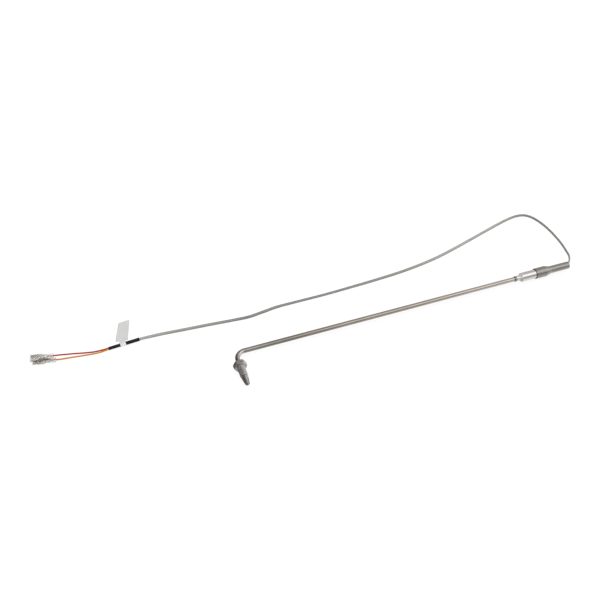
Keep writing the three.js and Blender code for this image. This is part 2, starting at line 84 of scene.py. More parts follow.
LENS_MM, SENSOR_MM = 54, 36
AZIMUTH = radians(-19.66)  # how far round from the front it stands, here towards -X
ELEVATION = radians(45.5)
DISTANCE = 1.178
NEAREST, FARTHEST = 0.01, 100
TARGET = BENCH + Vector((108.09, 66.09, 0)) * MM  # the place on the bench in the middle of the picture


def make_camera():
    data = bpy.data.cameras.new("camera")
    data.lens = LENS_MM
    data.sensor_width = SENSOR_MM
    data.clip_start, data.clip_end = NEAREST, FARTHEST
    flat = cos(ELEVATION)
    back = Vector((sin(AZIMUTH) * flat, -cos(AZIMUTH) * flat, sin(ELEVATION)))
    bpy.context.scene.camera = add_aimed("camera", data, TARGET + back * DISTANCE, -back)


make_camera()


# -------- materials

MIX_FACTOR, MIX_FIRST, MIX_SECOND, MIX_RESULT = 0, 6, 7, 2  # the Mix node's sockets for colours
NOISE_LOW, NOISE_HIGH = 0.25, 0.75  # most of a noise texture's values lie between these
DARK_AT, LIGHT_AT = 0.3, 0.7  # where a mottle reaches its darkest and its lightest


class NodeMaker:
    """Short calls that add nodes to a tree."""

    def __init__(self, tree):
        self.tree = tree

    def node(self, kind, **inputs):
        """A new node, with the values of its inputs."""
        made = self.tree.nodes.new(kind)
        for key, value in inputs.items():
            made.inputs[key.replace("_", " ")].default_value = value
        return made

    def link(self, start, end):
        self.tree.links.new(start, end)

    def fed(self, source, kind, end="Vector", **inputs):
        """A new node with a source linked into it."""
        made = self.node(kind, **inputs)
        self.link(source, made.inputs[end])
        return made

    def split(self, vector):
        """A vector's X, Y and Z."""
        return self.fed(vector, "ShaderNodeSeparateXYZ").outputs

    def ranged(self, source, low, high, to_low, to_high):
        """A value that runs from low to high, made to run from to_low to to_high."""
        ends = {"From_Min": low, "From_Max": high, "To_Min": to_low, "To_Max": to_high}
        return self.fed(source, "ShaderNodeMapRange", "Value", **ends).outputs["Result"]

    def ramp(self, factor, *stops):
        """Colours that change with a factor. Each stop is (factor, colour or grey)."""
        made = self.fed(factor, "ShaderNodeValToRGB", "Fac")
        elements = made.color_ramp.elements
        while len(elements) < len(stops):
            elements.new(0.5)
        for element, (at, colour) in zip(elements, stops, strict=True):
            element.position = at
            element.color = (*(colour if isinstance(colour, tuple) else (colour,) * 3), 1)
        return made.outputs["Color"]


FINISHES = {}  # the materials by name. The pieces' have the names of the record's slots


class Finish(NodeMaker):
    """A Principled material and short calls that add nodes to it."""

    def __init__(self, name, colour, roughness, metallic=0.0):
        self.material = bpy.data.materials.new(name)
        self.material.use_nodes = True
        super().__init__(self.material.node_tree)
        self.shader = self.tree.nodes["Principled BSDF"]
        self.set(Base_Color=(*colour, 1), Roughness=roughness, Metallic=metallic)
        FINISHES[name] = self.material

    def grain(self, scale):
        """The piece's own lengthwise coordinates (section x, section y, distance along), scaled."""
        return self.fed(self.attribute("grain", "Vector"), "ShaderNodeMapping", Scale=scale).outputs["Vector"]

    def place(self, scale):
        """The piece's object coordinates, scaled."""
        place = self.node("ShaderNodeTexCoord").outputs["Object"]
        return self.fed(place, "ShaderNodeMapping", Scale=scale).outputs["Vector"]

    def noise(self, scale, detail=3.0, roughness=0.55, over=None):
        """Noise over the piece's grain, or over other coordinates."""
        inputs = {"Scale": 1.0, "Detail": detail, "Roughness": roughness}
        return self.fed((over or self.grain)(scale), "ShaderNodeTexNoise", **inputs).outputs["Fac"]

    def attribute(self, name, output="Fac"):
        """The value or the vector that a mesh carries under a name."""
        source = self.node("ShaderNodeAttribute")
        source.attribute_name = name
        return source.outputs[output]

    def mottle(self, noise, dark, light, light_at=LIGHT_AT):
        return self.ramp(noise, (DARK_AT, dark), (light_at, light))

    def mix(self, factor, first, second, blend="MIX"):
        """Two colours blended by a factor. Each of the three is a socket or a plain value."""
        made = self.node("ShaderNodeMix")
        made.data_type = "RGBA"
        made.blend_type = blend
        for value, place in ((factor, MIX_FACTOR), (first, MIX_FIRST), (second, MIX_SECOND)):
            if hasattr(value, "is_linked"):
                self.link(value, made.inputs[place])
            else:
                made.inputs[place].default_value = value
        return made.outputs[MIX_RESULT]

    def spread(self, noise, low, high):
        """Noise made to run from low to high."""
        return self.ranged(noise, NOISE_LOW, NOISE_HIGH, low, high)

    def set(self, **inputs):
        """Plain values of the shader's inputs."""
        for key, value in inputs.items():
            self.shader.inputs[key.replace("_", " ")].default_value = value

    def colour(self, socket):
        self.link(socket, self.shader.inputs["Base Color"])

    def roughness(self, noise, low, high):
        self.link(self.spread(noise, low, high), self.shader.inputs["Roughness"])

    def by_length(self, stops):
        """Colours by how far along the piece a point is, in metres."""
        return self.ramp(self.split(self.grain((1, 1, 1)))["Z"], *stops)

    def bump(self, height, distance, strength=1.0):
        """A bump, whose depth is distance."""
        made = self.fed(height, "ShaderNodeBump", "Height", Strength=strength, Distance=distance)
        self.link(made.outputs["Normal"], self.shader.inputs["Normal"])


def shade(colour, factor):
    return tuple(channel * factor for channel in colour)


STAIN_SHARE = 0.55  # how much of a metal's tint shows where it is strongest
SMOOTHEST, ROUGHEST = 0.72, 1.3  # how a metal's roughness varies
LINE_DEPTH = 2e-6
ALONG = (9000, 9000, 60)  # the scale of drawn lines, which run down a piece
ACROSS = (40, 40, 9000)  # the scale of turning marks, which run round a piece


def metal(name, colour, roughness, lines, tint=None, mottle=0.12, metallic=1.0, stain_and_light_tones=None, bareness=None):
    """Metal with fine lines and a faint mottle. It may have stains of a tint, tones along its length that
    multiply its colour and may hold painted highlight and shade, and a bareness that says how metallic it is."""
    made = Finish(name, colour, roughness, metallic)
    cloud = made.noise((140, 140, 60), detail=5)
    base = made.mottle(cloud, shade(colour, 1 - mottle), shade(colour, 1 + mottle))
    if tint:
        stain = made.noise((45, 45, 14), detail=4)
        base = made.mix(made.spread(stain, 0, STAIN_SHARE), base, (*tint, 1))
    # On the sheath these tones are partly a heat stain and partly painted highlight and shade along its
    # length.
    if stain_and_light_tones:
        base = made.mix(1.0, base, made.by_length(stain_and_light_tones), "MULTIPLY")
    made.colour(base)
    if bareness:
        made.link(made.by_length(bareness), made.shader.inputs["Metallic"])
    fine = made.noise(lines, detail=2, roughness=0.4)
    made.roughness(made.mix(0.5, cloud, fine), roughness * SMOOTHEST, roughness * ROUGHEST)
    made.bump(fine, LINE_DEPTH)


SHEATH_GREY = (0.62, 0.58, 0.54)
SHEATH_TINT = (0.58, 0.53, 0.48)
BRIGHT_GREY = (0.76, 0.735, 0.715)
SATIN_GREY = (0.42, 0.397, 0.368)
SATIN_TINT = (0.38, 0.35, 0.32)
PLATE_GREY = (0.68, 0.645, 0.61)
TIN_GREY = (0.60, 0.57, 0.53)
ALLOY_GREY = (0.55, 0.50, 0.45)

# How the sheath's colour changes with metres from its leg's end, as a share of its colour. It is partly a
# heat stain, browner along the middle of the rod, and partly painted highlight and shade: lighter at the leg
# and bend, and towards the rod's end.
SHEATH_STAIN_AND_PAINTED_LIGHT = (
    (0.0, 1.0), (0.06, 1.0), (0.1, (0.68, 0.64, 0.60)), (0.18, (0.78, 0.755, 0.71)),
    (0.26, (0.71, 0.675, 0.64)), (0.34, (0.80, 0.77, 0.74)), (0.43, (0.90, 0.87, 0.84)),
)
# The ferrule's shoulder is blasted matt: metres along the rod, share of bare metal.
SHOULDER_BARENESS = ((0.3928, 1.0), (0.3932, 0.45), (0.3963, 0.45), (0.3968, 1.0))
# The hoods' plastic is thicker and duller over the socket than over the neck: metres from the mouth, colour.
HOOD_TONES = ((0.0, (0.79, 0.78, 0.76)), (0.016, (0.79, 0.78, 0.76)), (0.021, (0.96, 0.955, 0.95)))
# How bright the braid is along the cable: metres along it, share of its brightness.
CABLE_TONES = (
    (0.0, 0.88), (0.16, 0.86), (0.18, 1.0), (0.28, 0.98), (0.32, 0.88), (0.37, 0.7), (0.46, 0.63), (0.6, 0.6),
    (0.65, 0.74), (0.71, 0.9),
)


def braid_finish():
    """Tinned strands that are darker along some stretches of the cable, with painted shade in the gaps
    between them.
    """
    made = Finish("cable_braid", (0.3, 0.29, 0.27), 0.5, metallic=0.35)
    yarn = made.noise((2500, 2500, 900), detail=3)
    light = made.mottle(yarn, (0.35, 0.335, 0.31), (0.52, 0.50, 0.475))
    # The gaps between the strands get a near-black colour, which is painted shade.
    braid = made.mix(made.attribute("strand"), (0.11, 0.105, 0.10, 1), light)
    made.colour(made.mix(1.0, braid, made.by_length(CABLE_TONES), "MULTIPLY"))
    made.roughness(yarn, 0.42, 0.62)
    made.bump(yarn, 2e-5)


def cover_finish(name, deep, bright):
    """Varnished glass-fibre sleeving on a single wire, with painted shade in the gaps of its braid."""
    made = Finish(name, bright, 0.4)
    made.set(Specular_IOR_Level=0.1)
    cloud = made.noise((400, 400, 90), detail=4)
    light = made.mottle(cloud, shade(bright, 0.85), bright, light_at=0.75)
    # deep is painted shade in the braid's gaps; bright is the sleeving's own colour.
    made.colour(made.mix(made.attribute("strand"), (*deep, 1), light))
    made.roughness(cloud, 0.32, 0.5)
    made.bump(made.noise((5000, 5000, 1400), detail=2), 1e-5)


def shrink_finish():
    made = Finish("black_polyolefin", (0.008, 0.008, 0.009), 0.55)
    made.set(Specular_IOR_Level=0.2)
    cloud = made.noise((220, 220, 120), detail=4)
    made.colour(made.mottle(cloud, (0.005, 0.005, 0.006), (0.012, 0.012, 0.013), light_at=0.75))
    made.roughness(cloud, 0.48, 0.66)
    made.bump(made.noise((1600, 1600, 700), detail=3), 1.2e-5)


def label_finish():
    made = Finish("label_film", (0.64, 0.64, 0.635), 0.42)
    cloud = made.noise((55, 55, 55), detail=4, over=made.place)
    made.colour(made.mottle(cloud, (0.61, 0.61, 0.605), (0.67, 0.67, 0.665)))
    made.roughness(cloud, 0.36, 0.5)
    made.bump(made.noise((2600, 2600, 2600), detail=2, over=made.place), 4e-6)


def clear_finish():
    made = Finish("clear_plastic", (0.76, 0.75, 0.73), 0.14)
    made.set(IOR=1.42, Transmission_Weight=0.9)
    cloud = made.noise((160, 160, 90), detail=3)
    mottled = made.mottle(cloud, (0.95, 0.945, 0.94), (1.0, 1.0, 0.995))
    made.colour(made.mix(1.0, mottled, made.by_length(HOOD_TONES), "MULTIPLY"))
    made.roughness(cloud, 0.1, 0.2)
    made.bump(cloud, 6e-5, 0.5)


def powder_finish(name, colour):
    made = Finish(name, colour, 0.85)
    grit = made.noise((2200, 2200, 2200), detail=4, over=made.place)
    made.colour(made.mottle(grit, shade(colour, 0.8), colour))
    made.bump(grit, 6e-5)


metal("sheath_steel", SHEATH_GREY, 0.2, ALONG, tint=SHEATH_TINT, stain_and_light_tones=SHEATH_STAIN_AND_PAINTED_LIGHT)
metal("bright_steel", BRIGHT_GREY, 0.13, ACROSS, mottle=0.05, bareness=SHOULDER_BARENESS)
metal("satin_steel", SATIN_GREY, 0.36, ALONG, tint=SATIN_TINT)
metal("plated_steel", PLATE_GREY, 0.3, ACROSS)
metal("terminal_tin", TIN_GREY, 0.28, ALONG, metallic=0.5)
metal("alloy_wire", ALLOY_GREY, 0.3, ALONG)
braid_finish()
shrink_finish()
label_finish()
# Each cover's first colour is painted shade for its braid's gaps, the second is its own colour.
cover_finish("red_cover", (0.15, 0.002, 0.003), (0.38, 0.004, 0.006))
cover_finish("amber_cover", (0.28, 0.09, 0.0), (0.58, 0.215, 0.0))
clear_finish()
powder_finish("oxide_powder", (0.80, 0.77, 0.70))
powder_finish("cement", (0.70, 0.65, 0.56))


# -------- mesh helpers


def oriented_mesh(name, points, faces):
    """A mesh whose faces all look outwards."""
    mesh = bpy.data.meshes.new(name)
    mesh.from_pydata([tuple(p) for p in points], [], faces)
    made = bmesh.new()
    made.from_mesh(mesh)
    bmesh.ops.recalc_face_normals(made, faces=made.faces)
    made.to_mesh(mesh)
    made.free()
    return mesh


def smooth(mesh, sharp):
    """Smooth shading, apart from edges that turn by more than sharp degrees."""
    mesh.shade_smooth()
    mesh.set_sharp_from_angle(angle=radians(sharp))


def add_piece(name, points, faces, slot, body="probe", grain=None, strand=None, sharp=32):
    """A mesh piece in the row frame, which rides on a body and stands for the CAD node of its name. grain is
    each point's place on the piece's section and its distance along. strand is 1 on a braid's strands and 0
    in its gaps, where the finishes paint shade."""
    mesh = oriented_mesh(name, points, faces)
    smooth(mesh, sharp)
    attributes = ("grain", "FLOAT_VECTOR", "vector", grain), ("strand", "FLOAT", "value", strand)
    for key, kind, field, values in attributes:
        if values is not None:
            data = mesh.attributes.new(key, kind, "POINT").data
            data.foreach_set(field, np.asarray(values, np.float32).ravel())
    mesh.materials.append(FINISHES[slot])
    piece = add_object(name, mesh)
    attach(piece, body)
    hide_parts(name)
    return piece


def grid_faces(rows, columns, wrap_rows=False, wrap_columns=True, first=0):
    """Quads over a grid of points that is stored row by row."""
    faces = []
    for i in range(rows if wrap_rows else rows - 1):
        start, following = first + i * columns, first + (i + 1) % rows * columns
        for j in range(columns if wrap_columns else columns - 1):
            k = (j + 1) % columns
            faces.append((start + j, start + k, following + k, following + j))
    return faces


def rim_faces(rows, columns):
    """Quads that join both end rings of a tube to those of the inner one that is stored after it."""
    inner, faces = rows * columns, []
    for row in (0, rows - 1):
        for j in range(columns):
            a, b = row * columns + j, row * columns + (j + 1) % columns
            faces.append((a, b, inner + b, inner + a))
    return faces


def end_caps(rows, columns):
    """The faces that close both ends of a tube."""
    return [tuple(range(columns))[::-1], tuple((rows - 1) * columns + j for j in range(columns))]


NEARLY_STRAIGHT = 0.02  # radians; a corner within this of straight isn't rounded


def arc_corner(before, corner, after, radius, steps=5):
    """Points that round a profile's corner with an arc of that radius."""
    a, c, b = (np.array(p, float) for p in (before, corner, after))
    into, out = (a - c) / np.linalg.norm(a - c), (b - c) / np.linalg.norm(b - c)
    half = acos(np.clip(into @ out, -1, 1)) / 2
    if half > pi / 2 - NEARLY_STRAIGHT:
        return [tuple(c)]
    back = radius / tan(half)
    axis = (into + out) / np.linalg.norm(into + out)
    centre = c + axis * radius / sin(half)
    start, end = c + into * back - centre, c + out * back - centre
    sweep = atan2(start[0] * end[1] - start[1] * end[0], start @ end)
    points = []
    for i in range(steps + 1):
        x, y = cos(sweep * i / steps), sin(sweep * i / steps)
        points.append(tuple(centre + (start[0] * x - start[1] * y, start[0] * y + start[1] * x)))
    return points


def rounded(profile):
    """A closed profile of (along, across, corner radius) points in millimetres, with its corners rounded."""
    points = []
    for i, (along, across, radius) in enumerate(profile):
        before, after = profile[i - 1], profile[(i + 1) % len(profile)]
        if radius:
            points += arc_corner(before[:2], (along, across), after[:2], radius)
        else:
            points.append((along, across))
    return points


def split_long(profile, longest):
    """A closed profile with points added so that no step is longer than that."""
    points = []
    for i, start in enumerate(profile):
        end = profile[(i + 1) % len(profile)]
        count = max(1, ceil(dist(start, end) / longest))
        for j in range(count):
            points.append(tuple(start[k] + (end[k] - start[k]) * j / count for k in (0, 1)))
    return points


def ring_angles(sides):
    """Angles round a ring, as one row."""
    return np.arange(sides)[None, :] / sides * TURN


def squarish(angle, power):
    """Across and upward of points on a unit circle, which is round at a power of 1 and squarer below it."""
    return [np.sign(wave) * np.abs(wave) ** power for wave in (np.cos(angle), np.sin(angle))]


def turned(profile, axis, sides, shape=None):
    """Points, faces and grain of a closed profile of (along, radius) in millimetres turned about an axis
    through ORIGIN. shape(along, radius, angle) may change each ring's radius."""
    along, radius = (np.array(column)[:, None] for column in zip(*profile, strict=True))
    angle = ring_angles(sides)
    r = radius + 0 * angle if shape is None else shape(along, radius, angle)
    side, up = Vector((0, 0, 1)).cross(axis), Vector((0, 0, 1))
    x, y, z = r * np.cos(angle), r * np.sin(angle), along + 0 * angle
    points = np.array(ORIGIN) + MM * (
        x[..., None] * np.array(side) + y[..., None] * np.array(up) + z[..., None] * np.array(axis)
    )
    grain = np.stack([x, y, z], axis=-1) * MM
    return points.reshape(-1, 3), grid_faces(len(profile), sides, wrap_rows=True), grain.reshape(-1, 3)


ALONG_ROD = Vector((1, 0, 0))
ALONG_LEG = Vector((0, -1, 0))


def turned_piece(name, profile, axis, slot, body="probe", sides=96, shape=None, sharp=32):
    points, faces, grain = turned(profile, axis, sides, shape)
    return add_piece(name, points, faces, slot, body, grain, sharp=sharp)


BLOCK_FACES = [(0, 1, 3, 2), (4, 6, 7, 5), (0, 4, 5, 1), (2, 3, 7, 6), (0, 2, 6, 4), (1, 5, 7, 3)]
CUT_SHARP = 30  # degrees


def cut_with_blocks(piece, blocks):
    """Cuts blocks out of a piece. A block is its eight corners, with its third measure changing fastest."""
    for corners in blocks:
        block = add_object("block", oriented_mesh("block", corners, BLOCK_FACES))
        cutter = piece.modifiers.new("cut", "BOOLEAN")
        cutter.operation, cutter.solver, cutter.object = "DIFFERENCE", "EXACT", block
        bpy.context.view_layer.update()
        result = bpy.data.meshes.new_from_object(piece.evaluated_get(bpy.context.evaluated_depsgraph_get()))
        piece.modifiers.clear()
        piece.data = result
        bpy.data.objects.remove(block)
    smooth(piece.data, CUT_SHARP)


# -------- paths and sweeps


FINE_STEPS = 60  # points on each stretch of a curve before they are spaced evenly


def smooth_line(route, step):
    """Points about step apart on the centripetal Catmull-Rom curve through a route, all in millimetres."""
    p = np.array(route, float)
    p = np.vstack([2 * p[0] - p[1], p, 2 * p[-1] - p[-2]])
    fine = []
    for i in range(1, len(p) - 2):
        d0, d1, d2 = (sqrt(np.linalg.norm(p[i + k] - p[i + k - 1])) for k in (0, 1, 2))
        a, b, c, d = p[i - 1 : i + 3]
        into = ((b - a) / d0 - (c - a) / (d0 + d1) + (c - b) / d1) * d1
        out = ((c - b) / d1 - (d - b) / (d1 + d2) + (d - c) / d2) * d1
        t = np.linspace(0, 1, FINE_STEPS, endpoint=False)[:, None]
        square, cube = 3 * (c - b) - 2 * into - out, 2 * (b - c) + into + out
        fine.append(b + into * t + square * t**2 + cube * t**3)
    fine = np.vstack([*fine, p[-2:-1]])
    along = np.concatenate([[0], np.cumsum(np.linalg.norm(np.diff(fine, axis=0), axis=1))])
    at = np.linspace(0, along[-1], ceil(along[-1] / step) + 1)
    return np.stack([np.interp(at, along, fine[:, k]) for k in range(3)], axis=1), at


def path_frames(line, roll=0.0):
    """Side and up vectors at each point of a line, turned about it by roll, which is one value or many."""
    ahead = np.gradient(line, axis=0)
    ahead /= np.linalg.norm(ahead, axis=1)[:, None]
    up = np.array([0, 0, 1.0]) - ahead * ahead[:, 2:3]
    up /= np.linalg.norm(up, axis=1)[:, None]
    side = np.cross(up, ahead)
    roll = np.asarray(roll)[..., None]
    return side * np.cos(roll) + up * np.sin(roll), up * np.cos(roll) - side * np.sin(roll)


def swept(line, frames, across, upward, along):
    """Points and grain of rings laid on a line, row by row. across and upward place a ring's points in its
    frame, and along is each row's distance down the line."""
    across, upward, down = np.broadcast_arrays(across, upward, along[:, None])
    side, up = frames
    points = line[:, None, :] + across[..., None] * side[:, None, :] + upward[..., None] * up[:, None, :]
    grain = np.stack([across, upward, down], axis=-1)
    return points.reshape(-1, 3), grain.reshape(-1, 3)


def to_row(points, base=BENCH):
    """Millimetres counted from a base, to metres in the row frame."""
    return np.array(base) + MM * np.asarray(points)


# -------- cords

# The cords' routes, counted from the bench under the leg: along the rod, away from it, and up.
CABLE_ROUTE = [
    (441.5, 0, 7.5), (452, 0, 7.5), (461, 0, 7.5), (466.5, 0.7, 7.5), (471.5, 3.6, 7.4), (476.5, 9.5, 7),
    (480.6, 17, 6.1), (483.22, 27.28, 4.6), (486.34, 42.68, 2.7), (487.15, 58.63, 1.99),
    (486.23, 73.7, 1.99), (484.16, 87.74, 1.99), (480.43, 100.83, 1.99), (474.88, 111.31, 1.99),
    (467.29, 117.25, 1.99), (456.81, 118.87, 1.96), (442.91, 117.08, 1.87), (423.95, 112.16, 1.73),
    (399.95, 104.89, 1.59), (369.97, 95.45, 1.57), (339.97, 86.21, 1.55), (312.97, 78.82, 1.46),
    (285.98, 73.56, 1.34), (253.03, 69.12, 1.28), (218.03, 66.58, 1.25), (180.01, 64.86, 1.2),
    (140.02, 63.55, 1.19), (100, 63.54, 1.2), (75.01, 63.14, 1.3), (54.99, 60.41, 1.54),
    (35.95, 58.28, 1.54), (14.02, 59.79, 1.25), (-15, 62.23, 1.41), (-45.02, 64.35, 1.52),
    (-75.01, 66.72, 1.54), (-92, 67.1, 1.9), (-105.3, 66.9, 2.3), (-117, 66.1, 2.3),
]
# How far the cable's wide side is turned up from the bench: distance along the cable, degrees.
CABLE_ROLL = [
    (0, -90), (150, -90), (185, -60), (215, -42), (300, -38), (330, -25), (365, -18), (430, -12),
    (460, 0), (520, -2), (545, -10), (570, -38), (598, -38), (615, -14), (632, -25), (680, -38),
    (716, -38), (733, 0), (750, 0),
]
RED_ROUTE = [
    (-220.8, 72.26, 7.95), (-215.3, 71.3, 7.95), (-210.4, 70.4, 7.95), (-205.5, 69.5, 7.8),
    (-200.5, 69.05, 7.2), (-195.5, 68.85, 6.1), (-190.5, 69.05, 4.8), (-185.5, 69, 3.6),
    (-180.5, 68.75, 2.5), (-174.5, 68.1, 1.5), (-168.3, 67.2, 1), (-162, 66.25, 0.9), (-156, 65.65, 1.15),
    (-150, 65, 1.85), (-144.5, 65.05, 2.3), (-139, 65.43, 2.3), (-133.1, 65.83, 2.3),
]
AMBER_ROUTE = [
    (-219.06, 70.32, 2.6), (-213.7, 68.94, 2.6), (-208.9, 67.75, 2.6), (-204.05, 66.85, 2.45),
    (-199, 66.5, 2.15), (-192.1, 66.15, 1.6), (-185, 65.7, 1.1), (-178, 64.9, 0.9), (-170, 63.9, 0.9),
    (-162, 63.15, 0.9), (-155, 62.8, 1.15), (-150, 62.75, 1.85), (-144.4, 63.35, 2.3), (-139, 63.73, 2.3),
    (-132.9, 64.15, 2.3),
]
CABLE_HALF_WIDTH, CABLE_HALF_THICKNESS = 1.87, 1.07
CABLE_STEP, CABLE_SIDES = 0.26, 40
CABLE_BRAID = (8, 9.0, 0.07)  # carriers each way, lay and height
WIRE_RADIUS = 0.86
WIRE_STEP, WIRE_SIDES = 0.16, 24
WIRE_BRAID = (8, 4.2, 0.03)
CORD_SQUARENESS = 0.9
STRAND_DROP = 1.3  # how far a strand falls towards its edges, in heights of the braid
GAP_LEVEL, GAP_SLOPE = 0.45, 0.75  # how height becomes the share of strand, against gap


def braid_height(turns, along, carriers, lay):
    """A plain braid's height from -1 to 1, and 0 in its gaps to 1 on its strands."""
    first, second = carriers * (turns + along / lay), carriers * (turns - along / lay)
    heights = []
    for own, other, side in ((first, second, 1), (second, first, -1)):
        over = side * np.cos(np.pi * (other + np.round(own)))
        edge = (2 * np.abs(own - np.round(own))) ** 3
        heights.append(over - STRAND_DROP * edge)
    top = np.maximum(*heights)
    return np.clip(top, -1, 1), np.clip(GAP_LEVEL + GAP_SLOPE * top, 0, 1)


def braided_cord(name, route, half_width, half_thickness, step, sides, roll, braid, slot):
    """A cord piece with its braid in the mesh, the cord's path and its length."""
    line, along = smooth_line(route, step)
    carriers, lay, height = braid
    angle = ring_angles(sides)
    top, strand = braid_height(angle / TURN, along[:, None], carriers, lay)
    across, upward = squarish(angle, CORD_SQUARENESS)
    lift = height * top
    across, upward = (half_width + lift) * across, (half_thickness + lift) * upward
    points, grain = swept(line, path_frames(line, roll(along)), across, upward, along)
    faces = grid_faces(len(line), sides) + end_caps(len(line), sides)
    points, strand = to_row(points), strand.ravel()
    piece = add_piece(name, points, faces, slot, grain=MM * grain, strand=strand, sharp=60)
    return piece, to_row(line), along[-1] * MM


def cable_roll(along):
    """The cable's roll in radians at distances along it."""
    at, degrees = zip(*CABLE_ROLL, strict=True)
    return np.radians(np.interp(along, at, degrees))


cable, cable_path, cable_length = braided_cord(
    "braided_cable", CABLE_ROUTE, CABLE_HALF_WIDTH, CABLE_HALF_THICKNESS, CABLE_STEP, CABLE_SIDES,
    cable_roll, CABLE_BRAID, "cable_braid",
)
wires = {
    colour: braided_cord(
        f"{colour}_wire", route, WIRE_RADIUS, WIRE_RADIUS, WIRE_STEP, WIRE_SIDES,
        np.zeros_like, WIRE_BRAID, f"{colour}_cover",
    )
    for colour, route in (("red", RED_ROUTE), ("amber", AMBER_ROUTE))
}


# -------- heat-shrink tube and label

SHRINK_START = np.array((-105.3, 66.9, 2.3))  # on the cable's route
SHRINK_RUN = np.array((-144.5, 64.2, 2.3)) - SHRINK_START  # to its end between the wires' routes
SHRINK_LENGTH = np.linalg.norm(SHRINK_RUN)
SHRINK_WALL = 0.42
SHRINK_HALF_WIDTH, SHRINK_HALF_HEIGHT = 2.58, 1.68  # on the cable
DRAWN_WIDTH, DRAWN_HEIGHT = 0.16, 0.2  # how much less they are on the wires
SPLIT_AT, SPLIT_SOFTNESS = 22, 2.2  # where the cable ends and the wires begin, down the tube
WAIST_DEPTH, WAIST_WIDTH = 0.16, 0.35  # the valley between the two wires, as shares of the tube's size
LIP_HEIGHT, LIP_LENGTH = 0.09, 0.5


def make_heat_shrink():
    """Tight on the flat cable, then drawn in round the two wires, with a rolled lip at both ends."""
    rows, sides = 150, 72
    line = SHRINK_START + np.linspace(0, 1, rows)[:, None] * SHRINK_RUN
    frames, along = path_frames(line), np.linspace(0, SHRINK_LENGTH, rows)
    angle, down = ring_angles(sides), along[:, None]
    split = 1 / (1 + np.exp(-(down - SPLIT_AT) / SPLIT_SOFTNESS))
    half_width = SHRINK_HALF_WIDTH - DRAWN_WIDTH * split
    half_height = SHRINK_HALF_HEIGHT - DRAWN_HEIGHT * split
    waist = 1 - WAIST_DEPTH * split * np.exp(-((np.cos(angle) / WAIST_WIDTH) ** 2))
    ripple = 0.03 * np.sin(down * 1.9 + 1.3 * np.cos(2 * angle)) + 0.02 * np.sin(down * 4.3 + 3 * angle)
    lip = LIP_HEIGHT * (np.exp(-down / LIP_LENGTH) + np.exp(-(along[-1] - down) / LIP_LENGTH))
    across = (half_width + ripple + lip) * np.cos(angle)
    upward = (half_height * waist + ripple + lip) * np.sin(angle)
    outer, outer_grain = swept(line, frames, across, upward, along)
    inward = 1 - SHRINK_WALL / np.hypot(across, upward)
    inner, inner_grain = swept(line, frames, across * inward, upward * inward, along)
    faces = grid_faces(rows, sides) + [face[::-1] for face in grid_faces(rows, sides, first=rows * sides)]
    faces += rim_faces(rows, sides)
    points, grain = to_row(np.vstack([outer, inner])), MM * np.vstack([outer_grain, inner_grain])
    return add_piece("heat_shrink", points, faces, "black_polyolefin", grain=grain, sharp=50)


LABEL_FROM, LABEL_TO = 17.5, 24.4  # the strap's edges, counted down the shrink tube
STRAP_HALF = (LABEL_TO - LABEL_FROM) / 2
STRAP_ACROSS, STRAP_UP = 2.86, 1.98  # half the loop that the strap makes round the tube
FLAG_START, FLAG_HEIGHT, FLAG_WIDTH, NECK_WIDTH, FLAG_LEAN = 8.6, 34.5, 14.3, 8.8, 0.2
FLAG_CORNER = 0.9
FLAG_HALF = 7  # the half width that the flag's bends are counted in
NECK_HEIGHT = 4.6  # from the strap to the flag's foot
LOW_CORNER_OUT, HIGH_CORNER_FORWARD, CURL = 1.4, 2.9, 0.35
FILM = 0.14


def flag_outline():
    """(height, half width) of the folded label in its own plane, with rounded corners."""
    neck, half, turns = NECK_WIDTH / 2, FLAG_WIDTH / 2, [i / 6 * pi / 2 for i in range(7)]
    rows = [(-NECK_HEIGHT, STRAP_HALF), (-3.2, STRAP_HALF + 0.1), (-1.6, neck - 0.5), (-0.25, neck)]
    rows += [(FLAG_CORNER * (1 - cos(t)), half - FLAG_CORNER * (1 - sin(t))) for t in turns]
    rows += [(height, half) for height in np.linspace(FLAG_CORNER, FLAG_HEIGHT - FLAG_CORNER, 24)[1:]]
    for t in turns[1:]:
        rows.append((FLAG_HEIGHT - FLAG_CORNER * (1 - sin(t)), half - FLAG_CORNER * (1 - cos(t))))
    return rows


